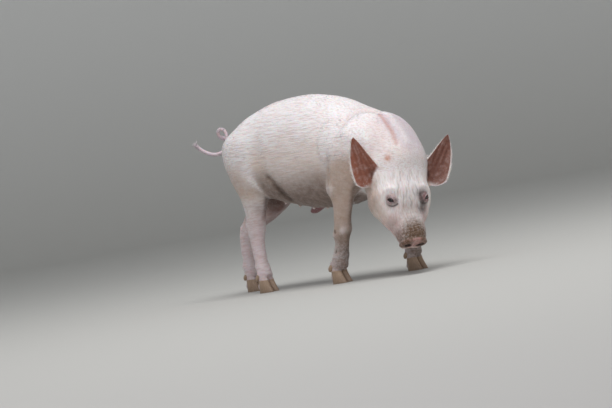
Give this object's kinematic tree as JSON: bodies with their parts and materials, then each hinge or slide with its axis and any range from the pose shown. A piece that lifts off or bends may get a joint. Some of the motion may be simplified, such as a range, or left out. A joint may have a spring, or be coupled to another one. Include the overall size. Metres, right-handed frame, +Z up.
{
  "type": "young pig, standing with its head lowered",
  "caption": "Life-size still model of a young white pig, standing in mid step with its snout lowered to the ground, ears forward and tail curled.",
  "frame": {"origin": "middle of the footprint of the whole pig, on the floor under its claws", "axes": "+Z up, the pig faces -Y, its left side is +X"},
  "size_m": [0.245, 0.6788, 0.4432],
  "materials": {
    "skin": "pink skin under short white bristles",
    "ear_skin": "thin skin, reddish inside, with fine white hair",
    "snout_skin": "bare moist skin with dried mud",
    "hoof_horn": "pale horn, satin, muddy at the edge",
    "eye": "wet and glossy"
  },
  "bodies": {
    "root": {"claw_fore_left_inner": "hoof_horn", "claw_fore_left_outer": "hoof_horn", "claw_fore_right_inner": "hoof_horn", "claw_fore_right_outer": "hoof_horn", "claw_hind_left_inner": "hoof_horn", "claw_hind_left_outer": "hoof_horn", "claw_hind_right_inner": "hoof_horn", "claw_hind_right_outer": "hoof_horn", "dewclaw_fore_left_inner": "hoof_horn", "dewclaw_fore_left_outer": "hoof_horn", "dewclaw_fore_right_inner": "hoof_horn", "dewclaw_fore_right_outer": "hoof_horn", "dewclaw_hind_left_inner": "hoof_horn", "dewclaw_hind_left_outer": "hoof_horn", "dewclaw_hind_right_inner": "hoof_horn", "dewclaw_hind_right_outer": "hoof_horn", "ear_left": "ear_skin", "ear_right": "ear_skin", "eye_left": "eye", "eye_right": "eye", "foreleg_left": "skin", "foreleg_right": "skin", "head": "skin", "hindleg_left": "skin", "hindleg_right": "skin", "jaw": "skin", "neck": "skin", "snout": "snout_skin", "tail": "skin", "trunk": "skin"}
  },
  "joints": []
}
